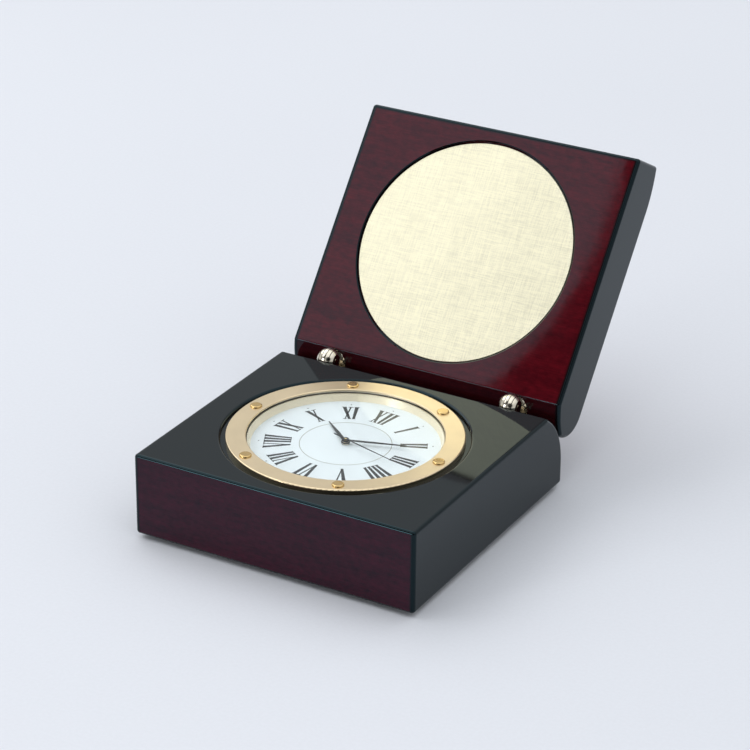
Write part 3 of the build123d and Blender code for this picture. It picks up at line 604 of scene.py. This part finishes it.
class DESKCLOCK_OT_plate(Operator):
    """Brush the round plate in the lid both ways"""

    bl_idname = "desk_clock.plate"
    bl_label = "Plate in the lid"

    def execute(self, context):
        looks = context.scene.desk_clock_metal
        brushed = Finish("brushed_plate", Metallic=1.0)
        here = brushed.place(LID_OPENING)
        across = brushed.noise(here, scale=(150, 3600, 400), detail=4, roughness=0.7)
        along = brushed.noise(here, scale=(3600, 150, 400), detail=4, roughness=0.7)
        weave = across * 0.5 + along * 0.5
        patches = brushed.noise(here, scale=60)
        light = brushed.span(weave, 0.80, 1.0, over=(0.40, 0.56)) * brushed.span(patches, 0.98, 1.02)
        brushed.colour(brushed.scaled(looks.plate, light))
        brushed.rough(brushed.span(weave, 0.35, 0.50, over=(0.4, 0.6)))
        brushed.relief(weave, depth=0.02 * MM)
        brushed.on("lid_plate")
        moulded_plastic("adhesive_film", ADHESIVE_FILM, 0.6).on("lid_plate_adhesive")
        return {"FINISHED"}


class DESKCLOCK_OT_hinges(Operator):
    """Polish the hinges"""

    bl_idname = "desk_clock.hinges"
    bl_label = "Hinges"

    def execute(self, context):
        looks = context.scene.desk_clock_metal
        polished = worked_metal("polished_hinge", looks.hinge, 0.10, (4000, 900, 900), tarnish=0.12)
        polished.on("hinge_base_leaves", "hinge_lid_leaves", "hinge_pins")
        turned = worked_metal("turned_barrel", looks.hinge, 0.24, (900, 900, 5200), tarnish=0.12)
        turned.on("hinge_base_barrels", "hinge_lid_barrels")
        return {"FINISHED"}


class DESKCLOCK_OT_bezel(Operator):
    """Finish the bezel, its screws, the crystal and the ring under it"""

    bl_idname = "desk_clock.bezel"
    bl_label = "Bezel and crystal"

    def execute(self, context):
        metal = context.scene.desk_clock_metal
        dial = context.scene.desk_clock_dial
        self.plated(metal)
        screws = worked_metal("screw_plating", metal.screw_heads, 0.09, (3000, 3000, 3000), tarnish=0.15)
        screws.on("bezel_screws")
        painted = Finish("ring_paint", IOR=1.45, Metallic=0.25)
        grain = painted.noise(painted.place(), scale=2600)
        painted.colour(painted.scaled(dial.reflector, painted.span(grain, 0.96, 1.03)))
        painted.rough(painted.span(grain, 0.32, 0.45))
        painted.relief(grain, depth=0.006 * MM)
        painted.on("reflector_ring")
        self.glazed()
        moulded_plastic("gasket_plastic", GASKET_CREAM, 0.6).on("crystal_gasket")
        return {"FINISHED"}

    def plated(self, metal):
        """Satin plating on the bezel, with the fine rings that the lathe left under it."""
        satin = Finish("bezel_plating", Metallic=1.0)
        here = satin.place()
        radius, angle, height = satin.round_about(here, CLOCK_AXIS)
        lathe_rings, turns = 5200, 3
        drawn_round = satin.combined(radius * lathe_rings, angle * turns, height * lathe_rings)
        rings = satin.noise(drawn_round, scale=1, detail=3, roughness=0.6)
        cloud = satin.noise(here, scale=150)
        satin.colour(satin.scaled(metal.bezel, satin.span(cloud, 0.95, 1.0)))
        satin.rough(satin.span(rings, 0.28, 0.34))
        satin.relief(rings, depth=0.003 * MM)
        satin.on("bezel")

    def glazed(self):
        """Clear coated glass with little glare, which lets the light straight through to the dial."""
        clear = Finish("crystal_glass", IOR=1.18, Transmission_Weight=1.0)
        smears = clear.noise(clear.place(), scale=70, detail=3)
        clear.colour(clear.scaled(GLASS_TINT, clear.span(smears, 0.99, 1.01)))
        clear.rough(clear.span(smears, 0.0, 0.02))
        shadowed = clear.node("LightPath", {}, {}, "Is Shadow Ray")
        through = clear.node("BsdfTransparent", {}, {"Color": clear.opaque(GLASS_SHADOW)})
        glass = Signal(clear, clear.shader.outputs[0])
        mixed = clear.node("MixShader", {}, {"Fac": shadowed, 1: glass, 2: through})
        clear.connect(mixed, clear.tree.nodes["Material Output"].inputs["Surface"])
        clear.on("crystal")


class DESKCLOCK_OT_dial(Operator):
    """Paint the dial and print its numerals, dots and circle"""

    bl_idname = "desk_clock.dial"
    bl_label = "Dial"

    def execute(self, context):
        looks = context.scene.desk_clock_dial
        ground = Finish("dial_paint", IOR=1.45)
        here = ground.place()
        grain = ground.noise(here, scale=3200, detail=3)
        cloud = ground.noise(here, scale=90)
        tone = ground.span(grain, 0.985, 1.01) * ground.span(cloud, 0.985, 1.01)
        ground.colour(ground.scaled(looks.ground, tone))
        ground.rough(ground.span(grain, 0.34, 0.44))
        ground.relief(grain, depth=0.004 * MM)
        ground.on("dial")

        ink = self.printing_ink("dial_ink", looks.ink, 0.85, 1.2)
        line = self.printing_ink("dial_line_ink", looks.line, 0.92, 1.06)
        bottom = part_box("dial")[1].z
        top = bottom + looks.ink_thickness
        self.numerals(looks, bottom, top, ink)
        self.dots(looks, bottom, top, ink)
        self.circle(looks, bottom, top, line)
        return {"FINISHED"}

    def printing_ink(self, name, colour, thin, thick):
        """Ink with a fine speckle, from its thin spots to its thick ones."""
        ink = Finish(name, IOR=1.45)
        speck = ink.noise(ink.place(), scale=6000)
        ink.colour(ink.scaled(colour, ink.span(speck, thin, thick)))
        ink.rough(ink.span(speck, 0.35, 0.5))
        return ink

    def numerals(self, looks, bottom, top, ink):
        size = looks.numeral_head - looks.numeral_foot
        middle = (looks.numeral_head + looks.numeral_foot) / 2
        bm = bmesh.new()
        for hour, word in enumerate(NUMERALS):
            for outline in numeral_outlines(word):
                corners = []
                for across, up in outline:
                    radius = looks.numeral_foot + up * size
                    corners.append(on_dial(hour * HOUR_ANGLE, across * size * radius / middle, radius))
                printed(bm, corners, bottom, top)
        piece_from("dial_numerals", bm, "base", ink)

    def dots(self, looks, bottom, top, ink):
        bm = bmesh.new()
        for hour in range(len(NUMERALS)):
            corners = []
            for corner in range(DOT_CORNERS):
                turn = corner * math.tau / DOT_CORNERS
                across = looks.dot_radius * math.cos(turn)
                radius = looks.dot_place + looks.dot_radius * math.sin(turn)
                corners.append(on_dial(hour * HOUR_ANGLE, across, radius))
            printed(bm, corners, bottom, top)
        piece_from("dial_hour_dots", bm, "base", ink)

    def circle(self, looks, bottom, top, ink):
        inner = looks.circle_radius - looks.circle_width / 2
        outer = looks.circle_radius + looks.circle_width / 2
        bm = bmesh.new()
        for step in range(CIRCLE_STEPS):
            start, end = step * 360 / CIRCLE_STEPS, (step + 1) * 360 / CIRCLE_STEPS
            corners = [on_dial(start, 0, inner), on_dial(start, 0, outer)]
            corners += [on_dial(end, 0, outer), on_dial(end, 0, inner)]
            printed(bm, corners, bottom, top)
        bmesh.ops.remove_doubles(bm, verts=bm.verts, dist=SAME_PLACE)
        piece_from("dial_inner_circle", bm, "base", ink)


class DESKCLOCK_OT_hands(Operator):
    """Finish the three hands"""

    bl_idname = "desk_clock.hands"
    bl_label = "Hands"

    def execute(self, context):
        looks = context.scene.desk_clock_dial
        enamel = Finish("hand_enamel", IOR=1.5)
        speck = enamel.noise(enamel.place(), scale=3000)
        enamel.colour(enamel.scaled(looks.ink, enamel.span(speck, 0.7, 1.0)))
        enamel.rough(enamel.span(speck, 0.25, 0.4))
        enamel.on("hour_hand", "minute_hand", "second_hand")
        return {"FINISHED"}


class DESKCLOCK_OT_insert(Operator):
    """Finish the insert's case, holder and setting knob"""

    bl_idname = "desk_clock.insert"
    bl_label = "Insert case"

    def execute(self, context):
        moulded_plastic("case_plastic", CASE_BLACK, 0.42).on("insert_case", "movement_cover")
        moulded_plastic("knob_plastic", KNOB_BLACK, 0.5).on("setting_knob", "battery_hatch")
        moulded_plastic("grip_rubber", GRIP_GREY, 0.75).on("insert_grip_ring")
        moulded_plastic("natural_plastic", HOLDER_CREAM, 0.5).on(
            "movement_holder", "coil_bobbin", "battery_tube")
        return {"FINISHED"}


class DESKCLOCK_OT_movement(Operator):
    """Finish the movement's plates, wheels and motor"""

    bl_idname = "desk_clock.movement"
    bl_label = "Movement"

    def execute(self, context):
        moulded_plastic("plate_plastic", PLATE_WHITE).on("main_plate", "train_bridge")
        moulded_plastic("wheel_plastic", WHEEL_WHITE, 0.4).on(
            "intermediate_wheel", "third_wheel", "minute_work_wheel", "hour_wheel")
        worked_metal("wheel_brass", WHEEL_BRASS, 0.28).on("second_wheel", "centre_wheel")
        worked_metal("bright_steel", BRIGHT_STEEL, 0.26).on(
            "movement_screws", "stator", "quartz_can", "rotor")
        self.winding()
        self.board()
        moulded_plastic("chip_resin", CHIP_BLACK, 0.55).on("control_chip")
        return {"FINISHED"}

    def winding(self):
        """Enamelled wire, turn beside turn along the coil."""
        wire = Finish("copper_winding", Metallic=1.0)
        here = wire.place()
        turns = wire.maths("SINE", wire.part(here, "X") * COIL_RADIANS)
        cloud = wire.noise(here, scale=900)
        wire.colour(wire.scaled(COPPER_WIRE, wire.span(cloud, 0.85, 1.0)))
        wire.rough(wire.span(cloud, 0.25, 0.4))
        wire.relief(turns, depth=0.02 * MM)
        wire.on("coil_winding")

    def board(self):
        """Green solder mask over copper tracks."""
        mask = Finish("board_mask", IOR=1.5)
        here = mask.place()
        tracks = mask.node("TexBrick", {"offset": 0.3}, {
            "Vector": mask.stretched(here, 900, 900, 0), "Scale": 1.0, "Mortar Size": 0.12,
            "Color1": (1, 1, 1, 1), "Color2": (1, 1, 1, 1), "Mortar": (0, 0, 0, 1)}, "Fac")
        mask.colour(mask.blend(tracks, BOARD_GREEN, TRACK_GREEN))
        mask.rough(mask.span(mask.noise(here, scale=1200), 0.3, 0.45))
        mask.relief(tracks, depth=0.02 * MM)
        mask.on("circuit_board")


class DESKCLOCK_OT_battery(Operator):
    """Finish the cell and its contacts"""

    bl_idname = "desk_clock.battery"
    bl_label = "Battery"

    def execute(self, context):
        worked_metal("cell_steel", CELL_STEEL, 0.24).on("battery")
        worked_metal("contact_steel", CONTACT_STEEL, 0.28).on("battery_side_contact", "battery_end_contact")
        return {"FINISHED"}


class DESKCLOCK_OT_stage(Operator):
    """Make the floor, the lamps, the room and the camera"""

    bl_idname = "desk_clock.stage"
    bl_label = "Stage"

    def execute(self, context):
        looks = context.scene.desk_clock_stage
        context.scene.view_settings.view_transform = "Standard"
        self.floor(looks)
        aim = Vector(looks.lamp_aim)
        self.lamp("key_softbox", looks.key_power, looks.key_place, looks.key_diameter, aim)
        self.lamp("umbrella", looks.umbrella_power, looks.umbrella_place, looks.umbrella_diameter, aim)
        self.lamp("edge_light", looks.edge_power, looks.edge_place, looks.edge_diameter, aim)
        self.room(looks)
        self.camera(looks)
        return {"FINISHED"}

    def floor(self, looks):
        bm = bmesh.new()
        bmesh.ops.create_grid(bm, x_segments=FLOOR_STEPS, y_segments=FLOOR_STEPS, size=looks.floor_reach)
        mesh = bpy.data.meshes.new("floor")
        bm.to_mesh(mesh)
        bm.free()
        floor = bpy.data.objects.new("floor", mesh)
        floor.location.z = CAD_BOX[0][2]
        bpy.context.scene.collection.objects.link(floor)
        paper = Finish("floor_paper", IOR=1.3)
        here = paper.place()
        cloud = paper.noise(here, scale=3)
        grain = paper.noise(here, scale=900)
        tone = paper.span(cloud, 0.99, 1.01) * paper.span(grain, 0.99, 1.01)
        paper.colour(paper.scaled(looks.floor, tone))
        paper.rough(paper.span(grain, 0.75, 0.85))
        mesh.materials.append(paper.material)

    def lamp(self, name, power, place, diameter, aim):
        """A round softbox that faces the clock."""
        light = bpy.data.lights.new(name, "AREA")
        light.shape = "DISK"
        light.size = diameter
        light.energy = power
        lamp = bpy.data.objects.new(name, light)
        lamp.location = place
        lamp.rotation_euler = (Vector(place) - aim).to_track_quat("Z", "Y").to_euler()
        bpy.context.scene.collection.objects.link(lamp)

    def room(self, looks):
        """A pale room with a bright ceiling, dark in one gap and behind the camera."""
        world = bpy.data.worlds.new("room")
        bpy.context.scene.world = world
        world.use_nodes = True
        room = Patterns(world.node_tree)
        direction = room.node("TexCoord", {}, {}, "Generated")
        height = room.part(direction, "Z")
        brightness = room.span(height, looks.sky_low, looks.sky_high, over=ROOM_BRIGHTENS)
        for place, fade in ((looks.gap_direction, GAP_FADE), (looks.dark_side, DARK_SIDE_FADE)):
            brightness = brightness * room.span(room.towards(direction, place), 1.0, DARKEST, over=fade)
        backdrop = world.node_tree.nodes["Background"]
        room.connect(room.opaque(ROOM_COLOUR), backdrop.inputs["Color"])
        room.connect(brightness, backdrop.inputs["Strength"])

    def camera(self, looks):
        lens = bpy.data.cameras.new("camera")
        lens.sensor_width = FRAME_WIDTH
        lens.lens = looks.lens
        lens.clip_start, lens.clip_end = NEAREST_SEEN, FARTHEST_SEEN
        camera = bpy.data.objects.new("camera", lens)
        cos_turn, sin_turn = math.cos(looks.azimuth), math.sin(looks.azimuth)
        cos_rise, sin_rise = math.cos(looks.elevation), math.sin(looks.elevation)
        back = Vector((sin_turn * cos_rise, -cos_turn * cos_rise, sin_rise))
        level = Vector((cos_turn, sin_turn, 0))
        upright = back.cross(level)
        cos_roll, sin_roll = math.cos(looks.roll), math.sin(looks.roll)
        right = level * cos_roll + upright * sin_roll
        up = upright * cos_roll - level * sin_roll
        place = Vector(looks.aim) + right * looks.slide[0] + up * looks.slide[1] + back * looks.distance
        camera.matrix_world = Matrix.Translation(place) @ Matrix((right, up, back)).transposed().to_4x4()
        bpy.context.scene.collection.objects.link(camera)
        bpy.context.scene.camera = camera


OPERATORS = (
    DESKCLOCK_OT_stage,
    DESKCLOCK_OT_box,
    DESKCLOCK_OT_feet,
    DESKCLOCK_OT_plate,
    DESKCLOCK_OT_hinges,
    DESKCLOCK_OT_bezel,
    DESKCLOCK_OT_dial,
    DESKCLOCK_OT_hands,
    DESKCLOCK_OT_insert,
    DESKCLOCK_OT_movement,
    DESKCLOCK_OT_battery,
)
GROUPS = {
    "desk_clock_box": BoxLooks,
    "desk_clock_metal": MetalLooks,
    "desk_clock_dial": DialLooks,
    "desk_clock_stage": StageLooks,
}


class DESKCLOCK_PT_panel(Panel):
    """Pieces of the desk clock, and their sizes and colours"""

    bl_idname = "DESKCLOCK_PT_panel"
    bl_label = "Desk Clock"
    bl_space_type = "VIEW_3D"
    bl_region_type = "UI"
    bl_category = "Desk Clock"

    def draw(self, context):
        column = self.layout.column()
        for operator in OPERATORS:
            column.operator(operator.bl_idname)
        for group, kind in GROUPS.items():
            looks = getattr(context.scene, group)
            for name in kind.__annotations__:
                column.prop(looks, name)


def register():
    for kind in (*GROUPS.values(), *OPERATORS, DESKCLOCK_PT_panel):
        bpy.utils.register_class(kind)
    for name, kind in GROUPS.items():
        setattr(bpy.types.Scene, name, PointerProperty(type=kind))


def unregister():
    for name in GROUPS:
        delattr(bpy.types.Scene, name)
    for kind in reversed((*GROUPS.values(), *OPERATORS, DESKCLOCK_PT_panel)):
        bpy.utils.unregister_class(kind)


def main():
    register()
    for operator in OPERATORS:
        group, name = operator.bl_idname.split(".")
        getattr(getattr(bpy.ops, group), name)()


if __name__ == "__main__":
    main()
